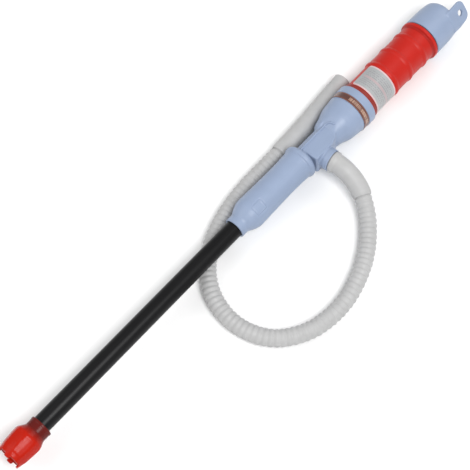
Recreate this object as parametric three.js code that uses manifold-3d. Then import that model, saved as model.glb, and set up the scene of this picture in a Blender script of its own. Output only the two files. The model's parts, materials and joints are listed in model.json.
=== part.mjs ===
// A battery-driven fluid transfer pump, lying on a flat surface with its outlet hose looped under its tube.
// Millimetres, +Z up. The origin is the middle of the underside of the pump itself, without its hose.
//
// The pump is drawn straight along +X first: "along" is the distance from the ends of the foot's legs towards
// the cap, and "roll" is an angle round that axis, from -Y towards +Z. The whole pump is then tipped by the
// slight angle at which it rests on its flange and on the hose, and is set down on the surface.

import * as THREE from "three";
import { mergeVertices } from "three/addons/utils/BufferGeometryUtils.js";
import Module from "manifold-3d";

const wasm = await Module();
wasm.setup();

// Driving dimensions.
const GAP = 0.3; // between two pieces that touch
const SIDES = 24; // facets round a large turned piece
const FINE_SIDES = 12; // facets round a small one

const TUBE = { from: 27, to: 388, radius: 8.7, bore: 6.8 };
const FOOT = { mouth: 3.2, roof: 22.5, shoulder: 26.7, end: 41, chamber: 11 };
const LEGS = { count: 4, turn: -4, height: 2.6, notchWidth: 12 };
const SLEEVE = { from: 291.5, to: 388.5, cavity: 13.4 };
const NECK = { from: 330, radius: 11, bore: 9.05, roof: 427 };
const BODY_END = 471;
const SEAL = { from: 429, to: 436, radius: 5.2, shaftHole: 2.2 };
const SPOUT = { along: 403, reach: 23.3, radius: 10.5, collar: 11, bore: 7.5, socket: 9.9, socketFrom: 17 };
const SPOUT_LIFT = THREE.MathUtils.degToRad(6.6); // the spout points up this much from level
const SPOUT_LEAN = THREE.MathUtils.degToRad(5.2); // and leans this much towards the cap
const BLOCK = { from: 391, pocketFrom: 400, to: 429, back: 5.2, halfHeight: 11.8 };
const BAND = { from: 455, to: 462, radius: 21.65, thickness: 0.4 };
const MOTOR = { from: 441.8, to: 466.5, radius: 13.8, wall: 0.9, screwCircle: 8 };
const RIM = { radius: 22.1, to: 470.4 }; // the top of the motor housing, above the band
const CASE = { from: 464, underside: 472.6, floor: 474.3, bore: 17.25, end: 591 };
const FLANGE = { from: 565, to: 568.7, radius: 21.65 };
const LABEL = { from: 476.5, to: 504.2, radius: 19.75, thickness: 0.25, rollFrom: -48, rollTo: 132 };
const THREAD = { lead: 6, root: 18.3, crest: 19.25, turns: 2, from: 575.5, capCrest: 18.65, capWall: 19.6 };
const CAP = { from: 569.9, radius: 21.4, top: 605.6, ceiling: 603.8 };
const TAB = { from: 597, to: 621.8, width: 21, thickness: 3, roll: 42, hole: 3.2, holeAt: 612.5, corner: 6 };
// The flat that the cap's side turns into.
const TAB_FACE = { startsAt: 585, startRadius: 21.15, slope: 0.096 };
const CELL = { radius: 16.6, length: 61.5, lowerFrom: 476.3 };
const SHAFT = { radius: 1.5, from: 12, to: 408 };
const MOTOR_SHAFT = { radius: 1, from: 415, to: 468.4 };
const HOSE = { radius: 8.5, cuffRadius: 9.5, sides: 12 };
const HOSE_CROSSING = 255; // where along the pump the hose passes under the tube
const RESTING_CLEARANCE = 0.55;

// The hose's centreline on the surface, from the spout to its free end.
const HOSE_ROUTE = [
  [93.7, -15.9, 26], [94.2, -21.7, 26.8], [95, -29.5, 26.7], [95.4, -38.4, 24.6], [94.8, -47, 21.4],
  [92.7, -55.8, 18], [88.9, -64.2, 14.8], [78.3, -78.9, 10.5], [60.3, -94.4, 8.8], [42.4, -105.1, 8.7],
  [22.5, -112.8, 8.7], [0.4, -117.5, 8.7], [-20.5, -117.4, 8.7], [-42, -112.7, 8.7], [-59.5, -103.2, 8.7],
  [-72.6, -90.6, 8.7], [-81.1, -73.6, 8.7], [-84.2, -52, 8.7], [-79.4, -29.2, 8.7], [-68.9, -10.9, 8.7],
  [-54.2, 2.9, 8.7], [-31.5, 14.9, 8.7], [-1, 23.4, 8.7], [27.4, 26.5, 8.9], [55.4, 26.8, 9.5],
  [76.2, 26.5, 9.7], [105.4, 27.2, 9.7], [137.4, 29.4, 9.7], [161.5, 31.2, 9.7], [176.3, 32.4, 9.7],
];
const CUFF_ENDS_AT = 0.088; // share of the route that the inlet cuff takes
const OUTLET_CUFF_FROM = 0.822; // share at which the outlet cuff begins

const COLOURS = {
  blue: { color: 0x9fb2d6, roughness: 0.45 },
  red: { color: 0xcb3226, roughness: 0.4 },
  black: { color: 0x18181b, roughness: 0.4 },
  clear: { color: 0xd3d3d3, roughness: 0.5 },
  rubber: { color: 0x222222, roughness: 0.8 },
  paper: { color: 0xc9c5c6, roughness: 0.6 },
  band: { color: 0x4a2c28, roughness: 0.5 },
  steel: { color: 0xb8babd, roughness: 0.35, metalness: 1 },
  brass: { color: 0xc8a24a, roughness: 0.35, metalness: 1 },
  iron: { color: 0x55575c, roughness: 0.6, metalness: 1 },
  white: { color: 0xe8e6e0, roughness: 0.6 },
  cell: { color: 0x2a4d3a, roughness: 0.4 },
};

const radians = THREE.MathUtils.degToRad;
const fullTurn = 2 * Math.PI;

// A piece turned about the pump's axis from [along, radius] points. A profile that doesn't end on the axis
// closes on itself, as a ring.
function turned(profile, sides = SIDES) {
  const points = profile.map(([along, radius]) => new THREE.Vector2(radius, along));
  if (THREE.ShapeUtils.area(points) < 0) points.reverse();
  if (points[0].x > 0 || points.at(-1).x > 0) points.push(points[0].clone());
  return new THREE.LatheGeometry(points, sides).rotateZ(-Math.PI / 2);
}

// A ring of one section: between two radii, over a stretch of the axis.
function ring(from, to, inner, outer, sides = FINE_SIDES) {
  return turned([[from, inner], [from, outer], [to, outer], [to, inner]], sides);
}

// A solid round bar on the axis.
function bar(from, to, radius, sides = FINE_SIDES) {
  return turned([[from, 0], [from, radius], [to, radius], [to, 0]], sides);
}

// A rectangular block, by its lowest and highest corners.
function block([x0, y0, z0], [x1, y1, z1]) {
  const geometry = new THREE.BoxGeometry(x1 - x0, y1 - y0, z1 - z0);
  return geometry.translate((x0 + x1) / 2, (y0 + y1) / 2, (z0 + z1) / 2);
}

// A geometry as a solid for joining and cutting.
function solid(geometry) {
  const bare = geometry.clone();
  for (const name of ["normal", "uv"]) bare.deleteAttribute(name);
  const merged = mergeVertices(bare, 1e-4);
  const vertProperties = merged.attributes.position.array;
  const triVerts = new Uint32Array(merged.index.array);
  return new wasm.Manifold(new wasm.Mesh({ numProp: 3, vertProperties, triVerts }));
}

// A joined or cut solid as a geometry again.
function geometryOf(manifold) {
  const { vertProperties, triVerts } = manifold.getMesh();
  const geometry = new THREE.BufferGeometry();
  geometry.setAttribute("position", new THREE.BufferAttribute(vertProperties, 3));
  geometry.setIndex(new THREE.BufferAttribute(triVerts, 1));
  return geometry;
}

function joined(first, ...others) {
  return geometryOf(others.reduce((whole, other) => whole.add(solid(other)), solid(first)));
}

function cut(first, ...others) {
  return geometryOf(others.reduce((whole, other) => whole.subtract(solid(other)), solid(first)));
}

function shared(first, second) {
  return geometryOf(solid(first).intersect(solid(second)));
}

// Turns a geometry round the pump's axis, so that what faced -Y faces a roll angle in degrees.
function rolled(geometry, roll) {
  return geometry.rotateX(-radians(roll));
}

// A flat outline of [along, across] points given a thickness, standing off the axis towards -Y.
function plate(outline, inner, outer) {
  const isShape = outline instanceof THREE.Shape;
  const shape = isShape ? outline : new THREE.Shape(outline.map((point) => new THREE.Vector2(...point)));
  const options = { depth: outer - inner, bevelEnabled: false, curveSegments: 6 };
  const geometry = new THREE.ExtrudeGeometry(shape, options);
  return geometry.translate(0, 0, inner).rotateX(Math.PI / 2);
}

// A bent sheet: an arc between two rolls, over a stretch of the axis.
function curvedSheet(from, to, inner, outer, rollFrom, rollTo, segments) {
  const shape = new THREE.Shape();
  shape.absarc(0, 0, outer, radians(rollFrom), radians(rollTo), false);
  shape.absarc(0, 0, inner, radians(rollTo), radians(rollFrom), true);
  const options = { depth: to - from, bevelEnabled: false, curveSegments: segments };
  const geometry = new THREE.ExtrudeGeometry(shape, options);
  // The shape's x axis becomes -Y, its y axis +Z, and its depth +X.
  const basis = new THREE.Matrix4().makeBasis(
    new THREE.Vector3(0, -1, 0), new THREE.Vector3(0, 0, 1), new THREE.Vector3(-1, 0, 0));
  return geometry.applyMatrix4(basis).translate(to, 0, 0);
}

// A round bar along a curve.
function rod(curve, radius, sides, steps) {
  const section = new THREE.Shape();
  for (let i = 0; i < sides; i++) {
    const turn = (fullTurn * i) / sides;
    section[i ? "lineTo" : "moveTo"](radius * Math.cos(turn), radius * Math.sin(turn));
  }
  return new THREE.ExtrudeGeometry(section, { steps, bevelEnabled: false, extrudePath: curve });
}

// A thread's ridge: a section of [along, radius] points wound round the axis.
function ridge(section, from, turns) {
  const shape = new THREE.Shape(section.map((p) => new THREE.Vector2(...p)));
  const options = { depth: turns * fullTurn, steps: Math.round(turns * SIDES), bevelEnabled: false };
  const geometry = new THREE.ExtrudeGeometry(shape, options);
  const position = geometry.attributes.position;
  for (let i = 0; i < position.count; i++) {
    const [along, radius, turn] = [position.getX(i), position.getY(i), position.getZ(i)];
    const advance = (THREAD.lead * turn) / fullTurn;
    position.setXYZ(i, from + along + advance, radius * Math.cos(turn), radius * Math.sin(turn));
  }
  return geometry;
}

// The direction that the spout points in.
const spoutDirection = new THREE.Vector3(
  Math.sin(SPOUT_LEAN),
  -Math.cos(SPOUT_LEAN) * Math.cos(SPOUT_LIFT),
  Math.cos(SPOUT_LEAN) * Math.sin(SPOUT_LIFT),
);

// Sets a geometry drawn along +X from the axis out along the spout.
function onSpout(geometry) {
  const turn = new THREE.Quaternion().setFromUnitVectors(new THREE.Vector3(1, 0, 0), spoutDirection);
  return geometry.applyQuaternion(turn).translate(SPOUT.along, 0, 0);
}

// The inlet foot: a soft barrel on four short legs, with a socket for the tube above its chamber.
function footHousing() {
  const barrel = turned([
    [0, 9.9], [0, 11.2], [0.8, 11.8], [3, 12.2], [5.5, 12.8], [8.4, 13.5], [13.4, 14], [18, 14.3],
    [22, 14.5], [24.5, 14.4], [26.5, 13.9], [28.6, 12.6], [31.1, 11.3], [32.2, 10.8], [40.4, 10.8],
    [FOOT.end, 10.2], [FOOT.end, 9.05], [FOOT.shoulder, 9.05], [FOOT.shoulder, 7], [FOOT.roof, 7],
    [20.8, FOOT.chamber],
    [FOOT.mouth, FOOT.chamber], [FOOT.mouth, 9.9],
  ]);
  const notches = [];
  for (let i = 0; i < LEGS.count; i++) {
    const notch = block([-1, -15, -LEGS.notchWidth / 2], [LEGS.height, -5, LEGS.notchWidth / 2]);
    notches.push(rolled(notch, LEGS.turn + (i + 0.5) * (360 / LEGS.count)));
  }
  return cut(barrel, ...notches);
}

// The strainer disc in the foot's mouth: a ring of round holes about a closed middle.
function intakeStrainer() {
  const holes = [];
  const count = 6;
  for (let i = 0; i < count; i++) {
    const hole = bar(0, 8, 2.3, 8).translate(0, -6.4, 0);
    holes.push(rolled(hole, (i * 360) / count));
  }
  return cut(bar(FOOT.mouth + GAP, FOOT.mouth + GAP + 1.6, FOOT.chamber - 0.4, 24), ...holes);
}

// A bearing that lets the liquid past: a hub on the shaft and three arms out to the wall round it.
function spiderBearing(from, to, outer) {
  const hub = ring(from, to, SHAFT.radius + GAP, 3.4);
  const arms = [0, 120, 240].map((roll) => rolled(block([from, -outer, -0.9], [to, -2.6, 0.9]), roll));
  return joined(hub, ...arms);
}

// The impeller: a blunt hub with four slanted blades.
function impeller() {
  const hub = turned([
    [8, 0], [8, 2.4], [9.5, 3.4], [20.2, 3.4], [20.2, 1.8], [11.7, 1.8], [11.7, 0],
  ], FINE_SIDES);
  const blades = [];
  for (const roll of [0, 90, 180, 270]) {
    const blade = block([-5, -9.6, -0.6], [5, -3, 0.6]).rotateY(radians(28)).translate(14.4, 0, 0);
    blades.push(rolled(blade, roll));
  }
  return joined(hub, ...blades);
}

// The lower grip: a shell that necks down to the tube and closes on the pump body's neck above.
function tubeSleeve() {
  return turned([
    [SLEEVE.from, NECK.bore], [SLEEVE.from, 10.1], [292, 10.6], [298.5, 10.6], [300.2, 11.1], [303, 12.6],
    [306.5, 14.2], [310, 15.4], [313, 15.75], [318, 15.7], [330, 15.4], [345, 15.1], [362, 15], [374, 15.4],
    [381, 15.9], [382.5, 16.5], [385.5, 17.5], [387, 17.1], [SLEEVE.to, 15.6], [SLEEVE.to, 11.35],
    [384.5, 11.35], [382, SLEEVE.cavity], [315.5, SLEEVE.cavity], [312, NECK.bore],
  ]);
}

// The pump body, in one moulding: the neck, the flow chamber with its flat faces, the spout and the housing.
function pumpBody() {
  const housing = turned([
    [NECK.from, NECK.bore], [NECK.from, 10.6], [330.6, NECK.radius], [418.5, NECK.radius], [420.5, 12.6],
    [423, 14.35], [427, 15.3], [431, 16.3], [435, 17.9], [439, 19.25], [443, 19.9], [447.5, 20.25],
    [454.6, 21.3], [454.7, 20.95], [462.3, 20.95], [462.4, RIM.radius], [RIM.to, RIM.radius],
    [BODY_END, 21.6], [BODY_END, 19], [447, 18], [441.6, 14.9], [439, 13.6], [SEAL.to, 11.8],
    [SEAL.to, SEAL.radius], [SEAL.from, SEAL.radius],
    [SEAL.from, SEAL.shaftHole], [NECK.roof, SEAL.shaftHole], [NECK.roof, NECK.bore],
  ]);
  const lift = (geometry) => rolled(geometry, THREE.MathUtils.radToDeg(SPOUT_LIFT));
  const { from, pocketFrom, to, back, halfHeight } = BLOCK;
  const beyond = 40; // past everything that the pockets cut
  const upperPocket = lift(block([pocketFrom, -beyond, halfHeight], [to, back, beyond]));
  const lowerPocket = lift(block([pocketFrom, -beyond, -beyond], [to, back, -halfHeight]));
  const outline = [
    [from, back], [to, back], [to, -8], [422, -13], [414.5, -15.5], [from + 0.5, -15.5], [from, -8],
  ];
  const chamber = lift(plate(outline, -halfHeight, halfHeight).rotateX(-Math.PI / 2));
  const boss = onSpout(bar(2, SPOUT.reach - 1, SPOUT.radius, 24));
  const collar = onSpout(turned([
    [SPOUT.socketFrom, 0], [SPOUT.socketFrom + 0.6, SPOUT.collar],
    [SPOUT.reach, SPOUT.collar], [SPOUT.reach, 0],
  ], 24));
  const waterway = bar(NECK.from - 1, NECK.roof, NECK.bore);
  const outlet = onSpout(bar(0, SPOUT.reach + 1, SPOUT.bore));
  const socket = onSpout(bar(SPOUT.socketFrom, SPOUT.reach + 2, SPOUT.socket, 24));
  const shell = cut(housing, upperPocket, lowerPocket);
  const whole = joined(shell, cut(chamber, motorHollow()), boss, collar);
  return cut(whole, waterway, outlet, socket);
}

// The room above the bulkhead, which the flow chamber's block must not reach into.
function motorHollow() {
  return bar(NECK.roof, BODY_END, SEAL.radius);
}

// The battery case: the red grip with its waves, the flange that the cap closes on, and the threaded neck.
function batteryCase() {
  const wave = (at) => [
    [at - 2.8, 19.55], [at - 1.6, 20.25], [at, 20.6], [at + 1.6, 20.25], [at + 3.3, 19.55],
  ];
  const { lead, root, crest, from, turns } = THREAD;
  const shell = turned([
    [CASE.from, 17], [CASE.from, 18.3], [BODY_END + GAP, 18.3], [BODY_END + GAP, 20.85], [475.4, 20.4],
    [476, 19.2], [LABEL.to + GAP, 19.2], ...[507.4, 529.2, 551.3].flatMap(wave), [561.5, 19.5],
    [564, 20.2], [FLANGE.from, 21.3], [FLANGE.from + 0.4, FLANGE.radius], [FLANGE.to - 0.4, FLANGE.radius],
    [FLANGE.to, 21.3], [FLANGE.to, root], [CASE.end, root], [CASE.end, CASE.bore], [CASE.floor, CASE.bore],
    [CASE.floor, 3.5], [CASE.underside, 3.5], [CASE.underside, 17],
  ]);
  const threads = ridge([[-1.5, root - 0.4], [1.5, root - 0.4], [0.9, crest], [-0.9, crest]], from, turns);
  const channel = block([CASE.from - 1, -2.5, -17.95], [CASE.end + lead, 2.5, -16]);
  return cut(joined(shell, threads), channel);
}

// The ring under the cap's edge, with a lip that closes the gap to the flange.
function caseSeal() {
  const [from, lipTo, to] = [FLANGE.to + GAP, CAP.from - GAP, 570.9];
  const inner = THREAD.root + GAP;
  return turned([[from, inner], [from, 20.9], [lipTo, 20.9], [lipTo, 19.3], [to, 19.3], [to, inner]]);
}

// The screw cap: a domed cup that carries the hanging tab, with one turn of thread inside.
function cap() {
  const dome = turned([
    [CAP.from, 0], [CAP.from, 21], [CAP.from + 0.5, CAP.radius], [582, 21.35], [590, 21.1], [596, 20.6],
    [600, 20.1], [602.5, 19.15], [604.3, 17.6], [605.2, 15.5], [CAP.top, 12], [CAP.top, 0],
  ]);
  const { capCrest, capWall, from, lead } = THREAD;
  const hollow = turned([
    [CAP.from - 1, 0], [CAP.from - 1, capWall], [591.5, capWall], [594, 18.8], [598.5, 18.1], [602, 16.9],
    [CAP.ceiling, 15.2], [CAP.ceiling, 0],
  ]);
  const section = [[-0.9, capCrest], [0.9, capCrest], [1.5, capWall + 0.5], [-1.5, capWall + 0.5]];
  const threads = ridge(section, from + lead / 2, 1);
  const half = TAB.width / 2;
  const outline = new THREE.Shape();
  outline.moveTo(TAB.from, -half);
  outline.lineTo(TAB.to - TAB.corner, -half);
  outline.absarc(TAB.to - TAB.corner, TAB.corner - half, TAB.corner, -Math.PI / 2, 0, false);
  outline.absarc(TAB.to - TAB.corner, half - TAB.corner, TAB.corner, 0, Math.PI / 2, false);
  outline.lineTo(TAB.from, half);
  const lean = Math.atan(TAB_FACE.slope);
  const face = TAB_FACE.startRadius - TAB_FACE.slope * (TAB.from - TAB_FACE.startsAt);
  const onFace = (geometry) =>
    geometry.translate(-TAB.from, face, 0).rotateZ(lean).translate(TAB.from, -face, 0);
  const tab = onFace(plate(outline, face - TAB.thickness, face));
  const beyond = onFace(block([550, -40, -30], [660, -face, 30]));
  const hole = onFace(bar(0, 20, TAB.hole).rotateZ(-Math.PI / 2).translate(TAB.holeAt, -8, 0));
  const trimmedTab = shared(tab, bar(TAB.from - 5, TAB.to + 5, CAP.radius, SIDES));
  const whole = cut(joined(cut(dome, beyond), trimmedTab), hollow, hole);
  return rolled(joined(whole, threads), TAB.roll);
}

// The cap's contact: a sprung brass cup whose rim meets the contact strip when the cap is home.
function capContact() {
  const rim = CASE.end + 1.2;
  return turned([
    [603.1, 0], [603.1, 14.4], [601.3, 16], [598, 17.2], [rim, 17.2], [rim, 17.6], [598.2, 17.6],
    [601.6, 16.4], [603.5, 14.6], [603.5, 0],
  ], 24);
}

// The cone spring between the cap's contact and the upper cell.
class ConeCoil extends THREE.Curve {
  getPoint(t, target = new THREE.Vector3()) {
    const turn = t * 3 * fullTurn;
    const radius = 9.5 - 4 * t;
    return target.set(602.3 - 1.8 * t, radius * Math.cos(turn), radius * Math.sin(turn));
  }
}

// A round cell with its raised terminal towards the cap.
function cell(from) {
  const { radius, length } = CELL;
  return turned([
    [from, 0], [from, radius - 1.2], [from + 0.7, radius], [from + length - 2.4, radius],
    [from + length - 1.6, radius - 1.2], [from + length - 1.6, 5], [from + length, 4.8], [from + length, 0],
  ], 24);
}

// The contact under the lower cell: a dished disc riveted through the case's floor.
function batteryContact() {
  return turned([
    [471.3, 0], [471.3, 2.2], [CASE.floor + GAP, 2.2], [CASE.floor + GAP, 9], [475, 9], [475, 4.5],
    [476, 3], [476, 0],
  ], FINE_SIDES);
}

// The motor's steel can, open at its upper end, with holes for the mounting screws.
function motorCan() {
  const { from, to, radius, wall, screwCircle } = MOTOR;
  const can = turned([
    [from, 2.3], [from, radius], [to, radius], [to, radius - wall], [from + wall, radius - wall],
    [from + wall, 2.3],
  ], 24);
  const hole = (side) => bar(from - 1, from + 3, 1.5, 8).translate(0, side * screwCircle, 0);
  return cut(can, hole(1), hole(-1));
}

// The plate that the motor is screwed to.
function motorMount() {
  const hole = (side) => bar(438, 443, 1.5, 8).translate(0, side * MOTOR.screwCircle, 0);
  return cut(ring(439.3, MOTOR.from - GAP, 2.6, 13.2, 24), hole(1), hole(-1));
}

function motorScrew(side) {
  const screw = turned([[437.6, 0], [437.6, 2.4], [439, 2.4], [439, 1.2], [444, 1.2], [444, 0]], 8);
  return screw.translate(0, side * MOTOR.screwCircle, 0);
}

// The armature: a steel core with three poles.
function armature() {
  const core = ring(446, 460, MOTOR_SHAFT.radius + GAP, 9.8, 24);
  const slots = [0, 120, 240].map((roll) => rolled(block([440, -12, -2], [465, -4, 2]), roll));
  return cut(core, ...slots);
}

function magnet(roll) {
  return curvedSheet(444.5, 463, 10.4, 12.6, roll - 60, roll + 60, 8);
}

function wire(points) {
  return rod(new THREE.CatmullRomCurve3(points.map((p) => new THREE.Vector3(...p))), 0.6, 6, 10);
}

// The stretch of the hose's route between two shares of its length.
class Stretch extends THREE.Curve {
  constructor(route, from, to) {
    super();
    Object.assign(this, { route, from, to });
  }
  getPoint(t, target = new THREE.Vector3()) {
    return this.route.getPointAt(this.from + (this.to - this.from) * t, target);
  }
}

const pump = new THREE.Group();

function add(name, geometry, colour, group = pump) {
  const material = new THREE.MeshStandardMaterial(COLOURS[colour]);
  const mesh = new THREE.Mesh(geometry, material);
  mesh.name = name;
  group.add(mesh);
}

// The suction end.
add("suction_tube", ring(TUBE.from, TUBE.to, TUBE.bore, TUBE.radius, SIDES), "black");
add("foot_housing", footHousing(), "red");
add("intake_strainer", intakeStrainer(), "red");
add("foot_bearing", spiderBearing(FOOT.roof + 0.4, FOOT.shoulder - 0.4, 6.7), "white");
for (const [i, along] of [110, 200, 290].entries())
  add(`tube_bearing_${i + 1}`, spiderBearing(along, along + 8, TUBE.bore - GAP), "white");
add("tube_sleeve", tubeSleeve(), "blue");
add("tube_oring", ring(326.2, NECK.from - GAP, NECK.bore, 12.6, 24), "rubber");

// The rotating parts.
add("impeller", impeller(), "white");
add("drive_shaft", bar(SHAFT.from, SHAFT.to, SHAFT.radius, 12), "steel");
add("shaft_coupling", turned([
  [SHAFT.to + GAP, 0], [SHAFT.to + GAP, 1.8], [402, 1.8], [402, 3.6], [420, 3.6], [420, 1.3],
  [MOTOR_SHAFT.from - GAP, 1.3], [MOTOR_SHAFT.from - GAP, 0],
], FINE_SIDES), "white");
add("motor_shaft", bar(MOTOR_SHAFT.from, MOTOR_SHAFT.to, MOTOR_SHAFT.radius, 12), "steel");
add("motor_armature", armature(), "iron");
add("motor_commutator", ring(460.6, 465.6, MOTOR_SHAFT.radius + GAP, 3), "brass");

// The pump body and what is inside it.
add("pump_body", pumpBody(), "blue");
const sealInner = MOTOR_SHAFT.radius + GAP;
add("shaft_seal", ring(SEAL.from + GAP, SEAL.to - GAP, sealInner, SEAL.radius - GAP), "rubber");
add("seal_retainer", ring(SEAL.to + GAP, SEAL.to + 1.1, 1.6, 8, 24), "steel");
add("motor_mount", motorMount(), "white");
for (const [i, side] of [1, -1].entries()) add(`motor_screw_${i + 1}`, motorScrew(side), "steel");
add("motor_can", motorCan(), "steel");
add("motor_end_bell", ring(MOTOR.to + GAP, MOTOR.to + 2.2, 2.3, MOTOR.radius, 24), "white");
for (const [i, roll] of [0, 180].entries()) add(`motor_magnet_${i + 1}`, magnet(roll), "iron");
for (const [i, side] of [1, -1].entries()) {
  const outward = (geometry) => (side > 0 ? geometry : geometry.rotateX(Math.PI));
  add(`motor_brush_${i + 1}`, outward(block([461.4, -1.2, 3.4], [465, 1.2, 7.4])), "iron");
  add(`motor_terminal_${i + 1}`, outward(block([469, -1.5, 8], [471.6, 1.5, 8.6])), "brass");
}
add("trim_band", ring(BAND.from, BAND.to, BAND.radius - BAND.thickness, BAND.radius, SIDES), "band");

// The battery case and its circuit.
add("battery_case", batteryCase(), "red");
add("instruction_label", curvedSheet(
  LABEL.from, LABEL.to, LABEL.radius - LABEL.thickness, LABEL.radius, LABEL.rollFrom, LABEL.rollTo, 20,
), "paper");
add("battery_contact", batteryContact(), "brass");
add("contact_strip", block([469.5, -2, -17.65], [CASE.end + 0.8, 2, -17.3]), "brass");
add("wire_positive", wire([[470.3, 0, 7.6], [470.6, 0, 6], [470.2, 0, 3], [470.4, 0, 0]]), "red");
add("wire_negative", wire([[470.3, 0, -9], [470.8, 0, -11], [470.2, 0, -14], [470.4, 0, -16.9]]), "black");
add("battery_lower", cell(CELL.lowerFrom), "cell");
add("battery_upper", cell(CELL.lowerFrom + CELL.length + GAP), "cell");
add("case_seal", caseSeal(), "rubber");

// The screw cap.
add("cap", cap(), "blue");
add("cap_contact", capContact(), "brass");
add("cap_spring", rod(new ConeCoil(), 0.5, 6, 48), "steel");

// The pump tips until it rests on its flange and on the hose under its tube.
const underTube = 2 * HOSE.radius + RESTING_CLEARANCE + TUBE.radius;
pump.rotation.y = Math.asin((underTube - FLANGE.radius) / (FLANGE.to - HOSE_CROSSING));
pump.updateMatrixWorld(true);
const bounds = new THREE.Box3().setFromObject(pump, true);
const middle = bounds.getCenter(new THREE.Vector3());
pump.position.set(-middle.x, -middle.y, -bounds.min.z);

// The hose, which lies on the surface and goes into the spout.
const routePoints = HOSE_ROUTE.map((point) => new THREE.Vector3(...point));
const route = new THREE.CatmullRomCurve3(routePoints, false, "centripetal");
route.arcLengthDivisions = 1200;
const joint = GAP / route.getLength() / 2;
const hose = new THREE.Group();
const stretches = [
  ["hose_inlet_cuff", 0, CUFF_ENDS_AT - joint, HOSE.cuffRadius, 8],
  ["outlet_hose", CUFF_ENDS_AT + joint, OUTLET_CUFF_FROM - joint, HOSE.radius, 44],
  ["hose_outlet_cuff", OUTLET_CUFF_FROM + joint, 1, HOSE.cuffRadius, 5],
];
for (const [name, from, to, radius, steps] of stretches)
  add(name, rod(new Stretch(route, from, to), radius, HOSE.sides, steps), "clear", hose);

const whole = new THREE.Group();
whole.add(pump, hose);

export default whole;
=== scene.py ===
"""A battery-driven fluid transfer pump, lying with its outlet hose looped under its tube.

The pump's own pieces are drawn in millimetres along its axis: "along" is the distance from the ends
of the foot's legs towards the cap, and "roll" is an angle round the axis, from -Y towards +Z. They are
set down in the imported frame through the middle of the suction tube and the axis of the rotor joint. The
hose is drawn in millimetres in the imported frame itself.
"""

import json
import math

import bpy
import numpy as np
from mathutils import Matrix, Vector


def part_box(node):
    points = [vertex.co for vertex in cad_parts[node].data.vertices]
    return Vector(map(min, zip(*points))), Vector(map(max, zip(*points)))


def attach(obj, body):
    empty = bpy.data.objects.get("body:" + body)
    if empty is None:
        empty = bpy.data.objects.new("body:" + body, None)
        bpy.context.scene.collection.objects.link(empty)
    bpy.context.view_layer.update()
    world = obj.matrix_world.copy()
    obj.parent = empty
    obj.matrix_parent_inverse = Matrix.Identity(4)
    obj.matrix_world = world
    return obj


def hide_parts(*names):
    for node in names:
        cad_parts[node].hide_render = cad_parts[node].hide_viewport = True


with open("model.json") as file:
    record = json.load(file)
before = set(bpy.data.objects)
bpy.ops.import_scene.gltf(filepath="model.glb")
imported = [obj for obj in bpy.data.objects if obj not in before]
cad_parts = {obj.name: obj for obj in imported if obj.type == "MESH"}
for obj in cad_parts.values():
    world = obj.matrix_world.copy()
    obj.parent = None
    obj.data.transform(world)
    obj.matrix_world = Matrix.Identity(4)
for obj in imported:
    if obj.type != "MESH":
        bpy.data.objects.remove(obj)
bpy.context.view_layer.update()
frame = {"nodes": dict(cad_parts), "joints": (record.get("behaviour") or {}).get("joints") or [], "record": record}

MM = 0.001
ARC_STEP = math.radians(12)  # the most that a rounded corner turns between two points

# Where the pump lies.
TUBE_FROM, TUBE_TO = 27, 388
TUBE_BORE = 9.05  # the radius of what the suction tube runs through
ROTOR = next(joint for joint in frame["joints"] if joint["name"] == "rotor_spin")
AXES = np.array([ROTOR["axis"], (0, 1, 0), (0, 0, 0)], float)
AXES[2] = np.cross(AXES[0], AXES[1])
TUBE_MIDDLE = np.mean([list(corner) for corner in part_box("suction_tube")], axis=0)
START = TUBE_MIDDLE - AXES[0] * (TUBE_FROM + TUBE_TO) / 2 * MM

# The spout and the flow chamber.
SPOUT_ALONG, SPOUT_REACH = 403, 23.3
SPOUT_LIFT, SPOUT_LEAN = math.radians(6.6), math.radians(5.2)
SPOUT = np.array([
    math.sin(SPOUT_LEAN),
    -math.cos(SPOUT_LEAN) * math.cos(SPOUT_LIFT),
    math.cos(SPOUT_LEAN) * math.sin(SPOUT_LIFT),
])
CHAMBER_HALF = 11.8  # half the height between the flow chamber's flat faces
CHAMBER_FROM, CHAMBER_BACK, CHAMBER_END = 391, 5.2, 429
RAMP_FROM, RAMP_SLOPE = 424, 0.8  # where a flat face starts to rise to the cone
BODY_SPLIT, HOUSING_SPLIT = 383, 454.65  # the moulded stretch, up to the foot of the band's groove

# The hose.
HOSE_ROUTE = [
    (93.7, -15.9, 26), (94.2, -21.7, 26.8), (95, -29.5, 26.7), (95.4, -38.4, 24.6), (94.8, -47, 21.4),
    (92.7, -55.8, 18), (88.9, -64.2, 14.8), (78.3, -78.9, 10.5), (60.3, -94.4, 8.8), (42.4, -105.1, 8.7),
    (22.5, -112.8, 8.7), (0.4, -117.5, 8.7), (-20.5, -117.4, 8.7), (-42, -112.7, 8.7), (-59.5, -103.2, 8.7),
    (-72.6, -90.6, 8.7), (-81.1, -73.6, 8.7), (-84.2, -52, 8.7), (-79.4, -29.2, 8.7), (-68.9, -10.9, 8.7),
    (-54.2, 2.9, 8.7), (-31.5, 14.9, 8.7), (-1, 23.4, 8.7), (27.4, 26.5, 8.9), (55.4, 26.8, 9.5),
    (76.2, 26.5, 9.7), (105.4, 27.2, 9.7), (137.4, 29.4, 9.7), (161.5, 31.2, 9.7), (176.3, 32.4, 9.7),
]
HOSE_RADIUS, CUFF_RADIUS = 8.5, 9.5
INLET_CUFF_TO, OUTLET_CUFF_FROM = 0.088, 0.822  # shares of the route
CORRUGATION, CORRUGATION_DEPTH = 5.3, 0.9
HOSE_WALL, HOSE_IN_CUFF = 1.3, 0.6  # the wall, and how much slimmer the hose is inside its cuffs


# --------------------------------------------------------------------------------------------------
# Outlines, rings and meshes
# --------------------------------------------------------------------------------------------------

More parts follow.
